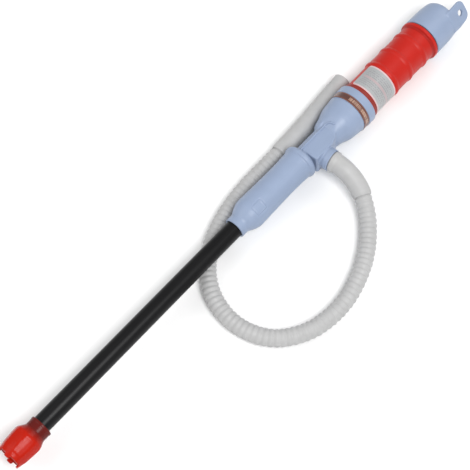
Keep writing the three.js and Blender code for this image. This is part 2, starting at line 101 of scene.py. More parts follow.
def filleted(corners):
    """A closed outline with rounded corners, from (x, y, fillet radius)."""
    places = np.array([corner[:2] for corner in corners], float)
    outline = []
    for i, place in enumerate(places):
        sides = [places[i - 1] - place, places[(i + 1) % len(places)] - place]
        lengths = [np.linalg.norm(side) for side in sides]
        u, v = (side / length for side, length in zip(sides, lengths))
        half = math.acos(float(np.clip(u @ v, -1, 1))) / 2
        swing = math.pi - 2 * half
        reach = min(corners[i][2] / math.tan(half), 0.48 * min(lengths))
        if swing < 0.02 or reach < 0.01:
            outline.append(place)
            continue
        radius = reach * math.tan(half)
        centre = place + (u + v) / np.linalg.norm(u + v) * math.hypot(reach, radius)
        first, last = place + u * reach - centre, place + v * reach - centre
        for t in np.linspace(0, 1, max(2, math.ceil(swing / ARC_STEP)) + 1):
            arm = math.sin((1 - t) * swing) * first + math.sin(t * swing) * last
            outline.append(centre + arm / math.sin(swing))
    return np.array(outline)


def divided(outline, step):
    """The closed outline with points added, so that no side is longer than step."""
    points = []
    for a, b in zip(outline, np.roll(outline, -1, axis=0)):
        count = max(1, math.ceil(np.linalg.norm(b - a) / step))
        points.extend(a + (b - a) * k / count for k in range(count))
    return np.array(points)


def on_axis(along, radius, roll):
    """Points of the pump's own frame at a distance along, from and round its axis (roll in radians)."""
    return np.stack(np.broadcast_arrays(along, -radius * np.cos(roll), radius * np.sin(roll)), -1)


def set_down(points):
    """Points of the pump's own frame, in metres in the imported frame."""
    return START + points @ AXES * MM


def volume(points, faces):
    """Six times the volume inside the faces, negative where they point in."""
    corners = points[faces]
    fans = [np.cross(corners[:, k], corners[:, k + 1]) for k in range(1, faces.shape[1] - 1)]
    return sum(float(np.einsum("ij,ij->", corners[:, 0], fan)) for fan in fans)


def mesh_object(name, points, faces, uv=None):
    """An object of points in metres and quads, with its faces pointing out."""
    if volume(points, faces) < 0:
        faces = faces[:, ::-1]
        uv = None if uv is None else uv[:, ::-1]
    mesh = bpy.data.meshes.new(name)
    mesh.from_pydata(points.tolist(), [], faces.tolist())
    if uv is not None:
        layer = mesh.uv_layers.new(name="UVMap")
        layer.data.foreach_set("uv", uv.astype(np.float32).ravel())
    piece = bpy.data.objects.new(name, mesh)
    bpy.context.scene.collection.objects.link(piece)
    return piece


def lofted(name, rings, closed=True, marks=None):
    """A closed skin over rings of points in metres: round again to the first ring, or capped at both ends.

    The UVs run from ring to ring, and round a ring by the marks given for its points.
    """
    count, size = rings.shape[:2]
    number = np.arange(count * size).reshape(count, size)
    steps = count if closed else count - 1
    i, j = (index.ravel() for index in np.meshgrid(np.arange(steps), np.arange(size), indexing="ij"))
    corners = [(i, j), (i + 1, j), (i + 1, j + 1), (i, j + 1)]
    faces = np.stack([number[a % count, b % size] for a, b in corners], -1)
    marks = np.arange(size) / size if marks is None else marks
    uv = np.stack([np.stack([a / steps, marks[b % size]], -1) for a, b in corners], 1)
    points = rings.reshape(-1, 3)
    if not closed:
        # A cap is a strip of quads between the ring's two halves.
        for ring in (number[0], number[-1][::-1]):
            half = size // 2
            near, far = ring[:half], ring[half:][::-1]
            cap = np.stack([near[:-1], far[:-1], far[1:], near[1:]], -1)
            faces = np.concatenate([faces, cap])
            uv = np.concatenate([uv, np.zeros((len(cap), 4, 2))])
    return mesh_object(name, points, faces, uv)


def turned(name, outline, sides=128, relief=None):
    """A ring turned about the pump's axis from a closed outline of (along, radius).

    Its UVs are (roll, along).
    """
    roll = np.linspace(0, 2 * math.pi, sides, endpoint=False)[:, None]
    along, radius = outline[None, :, 0], outline[None, :, 1]
    if relief is not None:
        radius = radius + relief(along, radius, roll)
    low, high = outline[:, 0].min(), outline[:, 0].max()
    return lofted(name, set_down(on_axis(along, radius, roll)), marks=(outline[:, 0] - low) / (high - low))


def ridge(name, section, start, turns, lead):
    """A thread's ridge, from (along, radius) points wound round the axis and running out at both ends."""
    turn = np.linspace(0, turns * 2 * math.pi, round(turns * 96) + 1)[:, None]
    run_out = np.clip(np.minimum(turn, turn[-1] - turn) / math.radians(25), 0, 1)
    along = start + section[None, :, 0] + lead * turn / (2 * math.pi)
    height = section[None, :, 1] - section[0, 1]
    radius = section[0, 1] + height * (0.15 + 0.85 * np.sin(run_out * math.pi / 2))
    return lofted(name, set_down(on_axis(along, radius, turn)), closed=False)


def combined(piece, other, operation="UNION"):
    """Joins, cuts or crosses a piece with another, which is used up."""
    modifier = piece.modifiers.new("combine", "BOOLEAN")
    modifier.operation = operation
    modifier.object = other
    modifier.solver = "MANIFOLD"
    graph = bpy.context.evaluated_depsgraph_get()
    mesh = bpy.data.meshes.new_from_object(piece.evaluated_get(graph))
    piece.modifiers.clear()
    piece.data = mesh
    bpy.data.objects.remove(other)
    return piece


# --------------------------------------------------------------------------------------------------
# Moulded shapes, as fields: negative inside, in millimetres
# --------------------------------------------------------------------------------------------------

def outline_distance(places, outline):
    """The distance of 2-D places to a closed outline, negative inside it."""
    nearest = np.full(len(places), np.inf)
    sign = np.ones(len(places))
    for a, b in zip(outline, np.roll(outline, -1, axis=0)):
        side, arm = b - a, places - a
        share = np.clip(arm @ side / (side @ side), 0, 1)
        nearest = np.minimum(nearest, ((arm - share[:, None] * side) ** 2).sum(1))
        tests = np.stack([
            places[:, 1] >= a[1], places[:, 1] < b[1], side[0] * arm[:, 1] > side[1] * arm[:, 0],
        ])
        sign[tests.all(0) | ~tests.any(0)] *= -1
    return sign * np.sqrt(nearest)


def revolved(points, outline):
    return outline_distance(np.stack([points[:, 0], np.hypot(points[:, 1], points[:, 2])], 1), outline)


def slab(points, outline, half, edge):
    """An outline of the first two coordinates, given a thickness in the third and rounded edges."""
    flat = outline_distance(points[:, :2], outline) + edge
    height = np.abs(points[:, 2]) - half + edge
    outside = np.hypot(np.maximum(flat, 0), np.maximum(height, 0))
    return np.minimum(np.maximum(flat, height), 0) + outside - edge


def capsule(points, a, b, radius):
    a, b = np.array(a, float), np.array(b, float)
    arm = points - a
    share = np.clip(arm @ (b - a) / ((b - a) @ (b - a)), 0, 1)
    return np.linalg.norm(arm - share[:, None] * (b - a), axis=1) - radius


def joined(a, b, soft):
    """The two shapes as one, with a fillet of about that size between them."""
    blend = np.maximum(soft - np.abs(a - b), 0) / soft
    return np.minimum(a, b) - blend * blend * soft / 4


def cut(a, b, soft):
    return -joined(-a, b, soft)


def crossed(a, b, soft):
    return -joined(-a, -b, soft)


def rolled_back(points, roll):
    """The points turned round the axis, so that what faces a roll angle faces -Y."""
    y, z = points[:, 1], points[:, 2]
    cosine, sine = math.cos(roll), math.sin(roll)
    return np.stack([points[:, 0], y * cosine - z * sine, y * sine + z * cosine], 1)


def grid_values(field, low, counts, pitch):
    """The field on a grid, worked out exactly only near its surface."""
    def over(every):
        axes = [low[k] + pitch * np.arange(0, counts[k], every) for k in range(3)]
        return np.stack(np.meshgrid(*axes, indexing="ij"), -1)

    stride = 4
    coarse = over(stride)
    values = field(coarse.reshape(-1, 3)).reshape(coarse.shape[:3])
    for k in range(3):
        values = np.repeat(values, stride, axis=k)
    values = values[:counts[0], :counts[1], :counts[2]]
    near = np.abs(values) < pitch * stride * 2
    values[near] = field(over(1)[near])
    return values


def surface(field, low, high, pitch):
    """Points and quads of the surface where a field is zero, spread evenly over it."""
    low, high = np.array(low, float), np.array(high, float)
    counts = np.ceil((high - low) / pitch).astype(int) + 1
    inside = grid_values(field, low, counts, pitch) < 0
    shifted = [inside[a:counts[0] - 1 + a, b:counts[1] - 1 + b, c:counts[2] - 1 + c]
               for a in (0, 1) for b in (0, 1) for c in (0, 1)]
    filled = np.sum(shifted, axis=0)
    crossing = (filled > 0) & (filled < len(shifted))
    number = np.full(crossing.shape, -1)
    number[crossing] = np.arange(crossing.sum())
    points = low + pitch * (np.argwhere(crossing) + 0.5)
    quads = []
    for k in range(3):
        order = (k, (k + 1) % 3, (k + 2) % 3)
        solid, cell = inside.transpose(order), number.transpose(order)
        below, above = solid[:-1, 1:-1, 1:-1], solid[1:, 1:-1, 1:-1]
        i, j, l = np.nonzero(below != above)
        ring = np.stack([cell[i, j, l], cell[i, j + 1, l], cell[i, j + 1, l + 1], cell[i, j, l + 1]], 1)
        entering = ~below[i, j, l]
        ring[entering] = ring[entering][:, ::-1]
        quads.append(ring)
    quads = np.concatenate(quads)
    for _ in range(3):
        points = settled(relaxed(points, quads), field, pitch)
    return settled(points, field, pitch), quads


def relaxed(points, quads):
    """Each point moved to the middle of its neighbours."""
    a, b = quads.ravel(), np.roll(quads, -1, axis=1).ravel()
    both, others = np.concatenate([a, b]), np.concatenate([b, a])
    degree = np.bincount(both, minlength=len(points))
    sums = [np.bincount(both, weights=points[others, k], minlength=len(points)) for k in range(3)]
    return np.stack(sums, 1) / degree[:, None]


def settled(points, field, reach):
    """Each point moved onto the field's surface."""
    step = 0.02
    value = field(points)
    slope = np.stack([field(points + step * row) - value for row in np.eye(3)], 1) / step
    steepness = np.maximum((slope ** 2).sum(1), 0.2)
    move = np.clip(value / steepness, -reach, reach)
    return points - move[:, None] * slope


def moulded(name, field, low, high, pitch):
    points, quads = surface(field, low, high, pitch)
    return mesh_object(name, set_down(points), quads)


# --------------------------------------------------------------------------------------------------
# Materials
# --------------------------------------------------------------------------------------------------

class Finish:
    """A material, and the nodes that vary its colour, roughness and surface. Sizes are in millimetres."""

    def __init__(self, name, **sockets):
        self.material = bpy.data.materials.new(name)
        self.material.use_nodes = True
        self.nodes, self.links = self.material.node_tree.nodes, self.material.node_tree.links
        self.shader = self.nodes["Principled BSDF"]
        for socket, value in sockets.items():
            self.shader.inputs[socket.replace("_", " ")].default_value = value
        self.places = self.nodes.new("ShaderNodeTexCoord")

    def put(self, value, socket):
        """Links a socket to another, or sets it to a number."""
        if isinstance(value, bpy.types.NodeSocket):
            self.links.new(value, socket)
        else:
            socket.default_value = value

    def maths(self, operation, *values):
        node = self.nodes.new("ShaderNodeMath")
        node.operation = operation
        for value, socket in zip(values, node.inputs):
            self.put(value, socket)
        return node.outputs[0]

    def noise(self, size, detail=2.0, stretch=(1, 1, 1)):
        """A noise whose features are of about that size, drawn out along an axis by stretch."""
        mapping = self.nodes.new("ShaderNodeMapping")
        mapping.inputs["Scale"].default_value = [1 / (size * MM * k) for k in stretch]
        self.links.new(self.places.outputs["Object"], mapping.inputs["Vector"])
        noise = self.nodes.new("ShaderNodeTexNoise")
        noise.inputs["Scale"].default_value = 1.0
        noise.inputs["Detail"].default_value = detail
        self.links.new(mapping.outputs["Vector"], noise.inputs["Vector"])
        return noise.outputs["Fac"]

    def ranged(self, value, low, high, to_low=0.0, to_high=1.0):
        node = self.nodes.new("ShaderNodeMapRange")
        for socket, number in zip(node.inputs, (value, low, high, to_low, to_high)):
            self.put(number, socket)
        return node.outputs[0]

    def mixed(self, share, a, b):
        node = self.nodes.new("ShaderNodeMix")
        node.data_type = "RGBA"
        self.put(share, node.inputs["Factor"])
        for colour, socket in ((a, node.inputs[6]), (b, node.inputs[7])):
            self.put(colour if isinstance(colour, bpy.types.NodeSocket) else (*colour, 1), socket)
        return node.outputs[2]

    def coloured(self, colour):
        self.put(colour, self.shader.inputs["Base Color"])
        return self

    def mottled(self, colour, amount, size=14):
        """The colour, slightly lighter and darker in soft patches."""
        share = self.ranged(self.noise(size), 0.3, 0.7)
        darker, lighter = ([channel * (1 + k * amount) for channel in colour] for k in (-1, 1))
        return self.mixed(share, darker, lighter)

    def roughened(self, low, high, size=6, stretch=(1, 1, 1)):
        value = self.ranged(self.noise(size, 3, stretch), 0.3, 0.7, low, high)
        self.put(value, self.shader.inputs["Roughness"])
        return self

    def bumped(self, height, depth):
        bump = self.nodes.new("ShaderNodeBump")
        bump.inputs["Strength"].default_value = 1.0
        bump.inputs["Distance"].default_value = depth * MM
        self.put(height, bump.inputs["Height"])
        self.links.new(bump.outputs["Normal"], self.shader.inputs["Normal"])
        return self


BLUE = (0.262, 0.325, 0.455)
RED = (0.47, 0.014, 0.008)
FOOT_RED = (0.42, 0.012, 0.004)


def moulded_plastic(name, colour, low=0.3, high=0.42, grain=0.006, **sockets):
    finish = Finish(name, **sockets)
    finish.coloured(finish.mottled(colour, 0.025)).roughened(low, high)
    return finish.bumped(finish.noise(0.5, 3), grain)


def make_materials():
    made = {
        "blue_plastic": moulded_plastic("blue_plastic", BLUE, 0.34, 0.44, Specular_IOR_Level=0.35),
        "white_plastic": moulded_plastic("white_plastic", (0.78, 0.76, 0.70), 0.4, 0.5),
        "rubber": moulded_plastic("rubber", (0.022, 0.022, 0.023), 0.6, 0.75, 0.02),
        "carbon": moulded_plastic("carbon", (0.03, 0.03, 0.032), 0.55, 0.7, 0.03),
        "magnet": moulded_plastic("magnet", (0.09, 0.09, 0.10), 0.45, 0.6, 0.02, Metallic=0.8),
        "brass": moulded_plastic("brass", (0.72, 0.50, 0.18), 0.22, 0.38, 0.004, Metallic=1.0),
        "wire_red": moulded_plastic("wire_red", (0.5, 0.02, 0.015), 0.35, 0.45),
        "wire_black": moulded_plastic("wire_black", (0.02, 0.02, 0.02), 0.35, 0.45),
        "cell_jacket": moulded_plastic("cell_jacket", (0.02, 0.09, 0.05), 0.25, 0.35),
    }
    steel = Finish("steel", Metallic=1.0)
    steel.coloured(steel.mottled((0.60, 0.61, 0.63), 0.05)).roughened(0.2, 0.36, 1.5, (12, 1, 1))
    made["steel"] = steel.bumped(steel.noise(0.3, 2, (30, 1, 1)), 0.004)
    made["red_plastic"] = grip_finish()
    made["foot_plastic"] = foot_finish()
    made["black_tube"] = tube_finish()
    made["hose_plastic"] = hose_finish()
    made["label_paper"] = label_finish()
    made["band_print"] = band_finish()
    return {name: finish.material for name, finish in made.items()}


def grip_finish():
    """Red plastic, with painted shade: browner on the ring beside the label and darker in the hollow in front of
    the flange.
    """
    finish = Finish("red_plastic", Specular_IOR_Level=0.22)
    along = along_axis(finish)
    # The ring's browner red is painted shade.
    ring = between(finish, along, 471.5, 475.6)
    # The hollow's darker red in front of the flange is painted shade, as if in the fillet's shadow.
    painted_shade_hollow = between(finish, along, 562.3, 565.2)
    colour = finish.mixed(ring, finish.mottled(RED, 0.025), (0.25, 0.030, 0.022))
    finish.coloured(finish.mixed(painted_shade_hollow, colour, (0.36, 0.010, 0.006))).roughened(0.36, 0.46)
    return finish.bumped(finish.noise(0.5, 3), 0.006)


def along_axis(finish):
    """The distance along the pump's axis, in millimetres, as a socket."""
    node = finish.nodes.new("ShaderNodeVectorMath")
    node.operation = "DOT_PRODUCT"
    finish.links.new(finish.places.outputs["Object"], node.inputs[0])
    node.inputs[1].default_value = AXES[0] / MM
    return finish.maths("SUBTRACT", node.outputs["Value"], float(START @ AXES[0]) / MM)


def foot_finish():
    """Clear red plastic, darker where the black tube stands behind it in the collar."""
    finish = Finish("foot_plastic", Coat_Weight=0.03, Coat_Roughness=0.15, Specular_IOR_Level=0.1)
    share = finish.ranged(along_axis(finish), 25.5, 33)
    colour = finish.mixed(share, finish.mottled(FOOT_RED, 0.03), finish.mottled((0.11, 0.011, 0.009), 0.05))
    finish.coloured(colour).roughened(0.2, 0.3)
    return finish.bumped(finish.noise(0.6, 3), 0.006)


def tube_finish():
    """Extruded black plastic, with faint drawing lines along it."""
    finish = Finish("black_tube", Specular_IOR_Level=0.15)
    lines = finish.noise(0.35, 3, (400, 1, 1))
    streaks = finish.ranged(lines, 0.35, 0.65)
    finish.coloured(finish.mixed(streaks, (0.005, 0.005, 0.0055), (0.009, 0.009, 0.0095)))
    finish.roughened(0.3, 0.4, 0.8, (300, 1, 1))
    return finish.bumped(lines, 0.012)


def hose_finish():
    """Cloudy soft plastic."""
    finish = Finish("hose_plastic", Specular_IOR_Level=0.3)
    finish.coloured(finish.mottled((0.42, 0.42, 0.42), 0.04, 9)).roughened(0.38, 0.5)
    return finish.bumped(finish.noise(0.8, 3), 0.01)


ROW_SHIFT = 0.37  # how far each row's bars are moved along from the last row's
BAR_HALF = 0.24  # half a bar's height, as a share of its row's


def bars(finish, u, v, widths, rows):
    """Generic printing: bars of uneven length in rows.

    widths and rows are how many fit in the unit square.
    """
    row = finish.maths("MULTIPLY", v, rows)
    number = finish.maths("FLOOR", row)
    shift = finish.maths("MULTIPLY", number, ROW_SHIFT)
    place = finish.maths("ADD", finish.maths("MULTIPLY", u, widths), shift)
    noise = finish.nodes.new("ShaderNodeTexWhiteNoise")
    noise.noise_dimensions = "2D"
    pair = finish.nodes.new("ShaderNodeCombineXYZ")
    finish.put(finish.maths("FLOOR", place), pair.inputs["X"])
    finish.put(number, pair.inputs["Y"])
    finish.links.new(pair.outputs[0], noise.inputs["Vector"])
    length = finish.ranged(noise.outputs["Value"], 0, 1, 0.35, 0.95)
    within = finish.maths("LESS_THAN", finish.maths("FRACT", place), length)
    height = finish.maths("FRACT", row)
    from_middle = finish.maths("ABSOLUTE", finish.maths("SUBTRACT", height, 0.5))
    in_row = finish.maths("LESS_THAN", from_middle, BAR_HALF)
    return finish.maths("MULTIPLY", within, in_row)


def between(finish, value, low, high):
    above = finish.maths("GREATER_THAN", value, low)
    return finish.maths("MULTIPLY", above, finish.maths("LESS_THAN", value, high))


def uv_of(finish):
    split = finish.nodes.new("ShaderNodeSeparateXYZ")
    finish.links.new(finish.places.outputs["UV"], split.inputs[0])
    return split.outputs["X"], split.outputs["Y"]


def label_finish():
    """A printed sticker with plain rows in place of its text."""
    finish = Finish("label_paper", Coat_Weight=0.3, Coat_Roughness=0.2)
    u, v = uv_of(finish)
    paper = finish.mottled((0.355, 0.365, 0.37), 0.03, 5)
    rows = bars(finish, u, v, 26, 13)
    inner = finish.maths("MULTIPLY", between(finish, u, 0.06, 0.94), between(finish, v, 0.14, 0.86))
    printed = finish.mixed(finish.maths("MULTIPLY", rows, inner), paper, (0.27, 0.265, 0.275))
    heading = finish.maths("MULTIPLY", between(finish, v, 0.46, 0.54), inner)
    printed = finish.mixed(heading, printed, (0.42, 0.33, 0.34))
    edge = finish.maths("SUBTRACT", 1, between(finish, v, 0.06, 0.94))
    finish.coloured(finish.mixed(edge, printed, (0.60, 0.46, 0.47))).roughened(0.35, 0.5)
    return finish.bumped(finish.noise(0.4, 3), 0.006)


def band_finish():
    """A dark printed band: thin bright edge lines, and a row of plain bars on its front."""
    finish = Finish("band_print", Coat_Weight=0.4, Coat_Roughness=0.15)
    u, v = uv_of(finish)
    ground = finish.mottled((0.095, 0.032, 0.025), 0.1, 8)
    marks = finish.maths("MULTIPLY", bars(finish, u, v, 110, 1), between(finish, u, 0.02, 0.27))
    lines = finish.maths("ADD", between(finish, v, 0.90, 0.97), between(finish, v, 0.03, 0.09))
    printed = finish.mixed(lines, ground, (0.30, 0.10, 0.05))
    finish.coloured(finish.mixed(marks, printed, (0.42, 0.26, 0.19))).roughened(0.3, 0.4)
    return finish.bumped(finish.noise(0.4, 2), 0.004)


# --------------------------------------------------------------------------------------------------
# The pump's pieces
# --------------------------------------------------------------------------------------------------

def finished(piece, slot, body, replaced, smooth=40):
    """Gives a piece its material, sets it on its body, and hides the CAD nodes it stands for."""
    piece.data.materials.clear()
    piece.data.materials.append(MATERIALS[slot])
    piece.data.shade_smooth()
    piece.data.set_sharp_from_angle(angle=math.radians(smooth))
    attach(piece, body)
    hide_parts(*replaced)
    return piece


FOOT_OUTLINE = filleted([
    (0, -20, 0), (0, 11.2, 0.4), (0.8, 11.8, 0.8), (3, 12.2, 2), (5.5, 12.8, 4), (8.4, 13.5, 6),
    (13.4, 14, 8), (18, 14.3, 6), (22, 14.5, 4), (24.5, 14.4, 3), (26.5, 13.9, 2.5), (28.6, 12.6, 3),
    (31.1, 11.2, 2), (32.4, 10.7, 1), (38.6, 10.7, 0.2), (38.9, 11, 0.2), (40.6, 11, 0.3),
    (41, 10.6, 0.2), (41, -20, 0),
])
FOOT_HOLLOW = filleted([
    (-5, -20, 0), (-5, 9.9, 0), (3.2, 9.9, 0.3), (3.2, 11, 0.3), (20.8, 11, 0.5), (22.5, 7, 0.5),
    (26.7, 7, 0), (26.7, TUBE_BORE, 0), (50, TUBE_BORE, 0), (50, -20, 0),
])
FOOT_LEGS, LEG_TURN = 4, -4  # the number of legs is a guess
LEG_HEIGHT, NOTCH_HALF, NOTCH_FROM = 2.6, 6, 5  # a notch's depth, half its width, and its start off the axis
FLUTE_DEPTH = 0.45
COLLAR_OFFSET = 0.75  # how far the collar's wall is thicker on the hose's side


def foot_field(points):
    """The inlet foot: a fluted barrel on short legs, and its collar, whose wall is thicker on one side."""
    along = points[:, 0]
    offset = COLLAR_OFFSET * np.clip((along - 26) / 6, 0, 1)
    y, z = points[:, 1] + offset, points[:, 2]
    roll, radius = np.arctan2(z, -y), np.hypot(y, z)
    run = np.clip((along - 3.5) / 3, 0, 1) * np.clip((28 - along) / 5, 0, 1) * np.clip(radius - 11.4, 0, 1)
    crest = 0.5 + 0.5 * np.cos(2 * FOOT_LEGS * (roll - math.radians(LEG_TURN)))
    flute = FLUTE_DEPTH * run * (1 - crest ** 2)
    shape = outline_distance(np.stack([along, radius + flute], 1), FOOT_OUTLINE)
    shape = cut(shape, revolved(points, FOOT_HOLLOW), 0.3)
    for k in range(FOOT_LEGS):
        side = rolled_back(points, math.radians(LEG_TURN + (k + 0.5) * 360 / FOOT_LEGS))
        notch = np.maximum(np.abs(side[:, 2]) - NOTCH_HALF, side[:, 1] + NOTCH_FROM)
        notch = np.maximum(side[:, 0] - LEG_HEIGHT, notch)
        shape = cut(shape, notch, 0.5)
    return shape


STRAINER_HOLES, HOLE_AWAY, HOLE_RADIUS = 6, 6.4, 2.3


def strainer_field(points):
    """The strainer: a disc with a ring of holes, and a thin raised ring near its edge."""
    along, radius = points[:, 0], np.hypot(points[:, 1], points[:, 2])
    shape = crossed(np.abs(along - 4.3) - 0.8, radius - 10.6, 0.5)
    for k in range(STRAINER_HOLES):
        side = rolled_back(points, math.radians(360 / STRAINER_HOLES * k))
        shape = cut(shape, np.hypot(side[:, 1] + HOLE_AWAY, side[:, 2]) - HOLE_RADIUS, 0.5)
    return joined(shape, np.hypot(along - 3.6, radius - 10.0) - 0.35, 0.3)


SLEEVE_OUTLINE = filleted([
    (291.5, TUBE_BORE, 0.2), (291.5, 10.1, 0.3), (292, 10.6, 0.4), (298.5, 10.6, 1), (300.2, 11.1, 2),
    (303, 12.6, 4), (306.5, 14.2, 4), (310, 15.4, 4), (313, 15.75, 4), (318, 15.7, 3), (330, 15.4, 8),
    (345, 15.1, 8), (362, 15, 10), (374, 15.4, 8), (381, 15.9, 2), (382.3, 16.2, 0.4), (383, 17.1, 0.8),
    (385.5, 17.5, 1), (387, 17.1, 0.8), (388.5, 15.6, 0.4), (388.5, 11.35, 0.3), (384.5, 11.35, 0.5),
    (382, 13.4, 0.5),
    (315.5, 13.4, 1), (312, TUBE_BORE, 0.5),
])
PANEL_ALONG, PANEL_ROLL, PANEL_HALF, PANEL_CORNER = 318.5, 64, 6.5, 2.0
PANEL_RADIUS = 15.7  # of the sleeve, where the panel is
LINE_ROLL, LINE_FROM, LINE_TO = 76, 327, 372
SEAM_ROLLS, SEAM_FROM, SEAM_TO = (6.6, -173.4), 302, 380
SLEEVE_INSIDE = 13.9  # the relief stands only on what is farther out than this


def sleeve_relief(along, radius, roll):
    """A rounded rectangle sunk in the grip, a thin line up from it, and the two mould lines."""
    degrees = (np.degrees(roll) + 180) % 360 - 180
    across = np.radians(degrees - PANEL_ROLL) * PANEL_RADIUS
    reach = np.hypot(np.maximum(np.abs(along - PANEL_ALONG) - PANEL_HALF + PANEL_CORNER, 0),
                     np.maximum(np.abs(across) - PANEL_HALF + PANEL_CORNER, 0)) - PANEL_CORNER
    sunk = -0.5 * np.clip(0.5 - reach / 0.6, 0, 1)
    frame_line = 0.45 * np.exp(-((reach + 1.6) / 0.4) ** 2)
    line = -0.15 * np.exp(-((degrees - LINE_ROLL) / 1.6) ** 2)
    line = line * np.clip(along - LINE_FROM, 0, 1) * np.clip(LINE_TO - along, 0, 1)
    mould = sum(0.5 * np.exp(-((degrees - seam) / 1.3) ** 2) for seam in SEAM_ROLLS)
    run = np.clip((along - SEAM_FROM) / 3, 0, 1) * np.clip((SEAM_TO - along) / 2, 0, 1)
    return np.where(radius > SLEEVE_INSIDE, sunk + frame_line + line + mould * run, 0)


HOUSING_OUTLINE = filleted([
    (372, -20, 0), (372, 11, 0.3), (418.5, 11, 1.5), (420.5, 12.6, 1.5), (423, 14.35, 2), (427, 15.3, 4),
    (431, 16.3, 4), (435, 17.9, 5), (439, 19.25, 5), (443, 19.9, 5), (447.5, 20.25, 6), (454.6, 21.3, 0.1),
    (470, 21.3, 0), (470, -20, 0),
])
CAVITY_OUTLINE = filleted([
    (429, -20, 0), (429, 5.2, 0), (436, 5.2, 0), (436, 11.8, 0.3), (439, 13.6, 1), (441.6, 14.9, 1),
    (447, 18, 2), (480, 19.4, 0), (480, -20, 0),
])
CHAMBER_OUTLINE = filleted([
    (CHAMBER_FROM, -CHAMBER_BACK, 1.5), (CHAMBER_END, -CHAMBER_BACK, 1.5), (CHAMBER_END, 8, 2), (422, 13, 6),
    (414.5, 15.5, 4), (CHAMBER_FROM + 0.5, 15.5, 2), (CHAMBER_FROM, 8, 2),
])
# The rib at a flat face's edge, as (along, away from the spout, height): up its back, and then round
# onto the cone.
RIB = [
    (CHAMBER_FROM - 1, 2.9, 12.3), (423, 2.9, 12.3), (425.5, 2.7, 13.1), (427.8, 1.6, 14.6),
    (429.3, -0.6, 15.7), (430.6, -4.5, 15.5),
]
RIB_RADIUS = 0.9
BOSS_RADIUS, BOSS_REACH = 10.5, 22.5
COLLAR_RADIUS, COLLAR_FROM = 11, 17.6
SPOUT_BORE, SOCKET_RADIUS, SOCKET_FROM = 7.5, 9.9, 17
CHAMBER_BORE_TO = 427
SHAFT_HOLE, SHAFT_HOLE_FROM = 2.2, 420


def body_field(points):
    """The flow chamber with its flat faces, the spout, and the cone up to the band's groove."""
    level = rolled_back(points, SPOUT_LIFT)
    across, height = -level[:, 1], level[:, 2]
    floor = CHAMBER_HALF + RAMP_SLOPE * np.maximum(points[:, 0] - RAMP_FROM, 0)
    pocket = np.maximum(floor - np.abs(height), -CHAMBER_BACK - across)
    pocket = np.maximum(pocket, 400 - points[:, 0])
    shape = cut(revolved(points, HOUSING_OUTLINE), pocket, 3)
    chamber = slab(np.stack([points[:, 0], across, height], 1), CHAMBER_OUTLINE, CHAMBER_HALF, 1.3)
    shape = joined(shape, chamber, 1.4)
    for side in (1, -1):
        for a, b in zip(RIB, RIB[1:]):
            bead = capsule(level, (*a[:2], side * a[2]), (*b[:2], side * b[2]), RIB_RADIUS)
            shape = joined(shape, bead, 0.3)
    arm = points - (SPOUT_ALONG, 0, 0)
    reach = arm @ SPOUT
    out = np.linalg.norm(arm - reach[:, None] * SPOUT, axis=1)
    boss = crossed(crossed(out - BOSS_RADIUS, reach - BOSS_REACH, 0.8), 2 - reach, 0.5)
    shape = joined(shape, boss, 1.6)
    collar = crossed(crossed(out - COLLAR_RADIUS, reach - SPOUT_REACH, 0.7), COLLAR_FROM - reach, 0.5)
    shape = joined(shape, collar, 0.5)
    middle = np.hypot(points[:, 1], points[:, 2])
    shape = cut(shape, np.maximum(middle - TUBE_BORE, points[:, 0] - CHAMBER_BORE_TO), 0.4)
    shape = cut(shape, np.maximum(out - SPOUT_BORE, -reach), 0.4)
    shape = cut(shape, np.maximum(out - SOCKET_RADIUS, SOCKET_FROM - reach), 0.5)
    shape = cut(shape, revolved(points, CAVITY_OUTLINE), 0.4)
    shape = cut(shape, np.maximum(middle - SHAFT_HOLE, SHAFT_HOLE_FROM - points[:, 0]), 0.2)
    shape = crossed(shape, points[:, 0] - HOUSING_SPLIT, 0.25)
    return crossed(shape, BODY_SPLIT - points[:, 0], 0.3)


def pump_body():
    """The body's moulded stretch, with the neck round the tube, and the housing from the band up."""
    body = moulded("pump_body_visual", body_field, (381.5, -25.5, -22.5), (456, 22.5, 22.5), 0.42)
    neck = turned("neck", filleted([
        (330, TUBE_BORE, 0), (330, 10.6, 0.2), (330.6, 10.94, 0.3), (384.5, 10.94, 0), (384.5, 9.11, 0),
        (330.5, 9.11, 0),
    ]), 96)
    upper = turned("housing_upper", filleted([
        (453.6, 20.95, 0), (462.2, 20.95, 0), (462.3, 22.1, 0.4), (470.4, 22.1, 0.6), (471, 21.6, 0.3),
        (471, 19, 0.2), (453.6, 18.45, 0),
    ]), 192)
    return combined(combined(body, neck), upper)


WAVES = (507.4, 529.2, 551.3)  # the middles of the grip's waves
THREAD_LEAD = 6


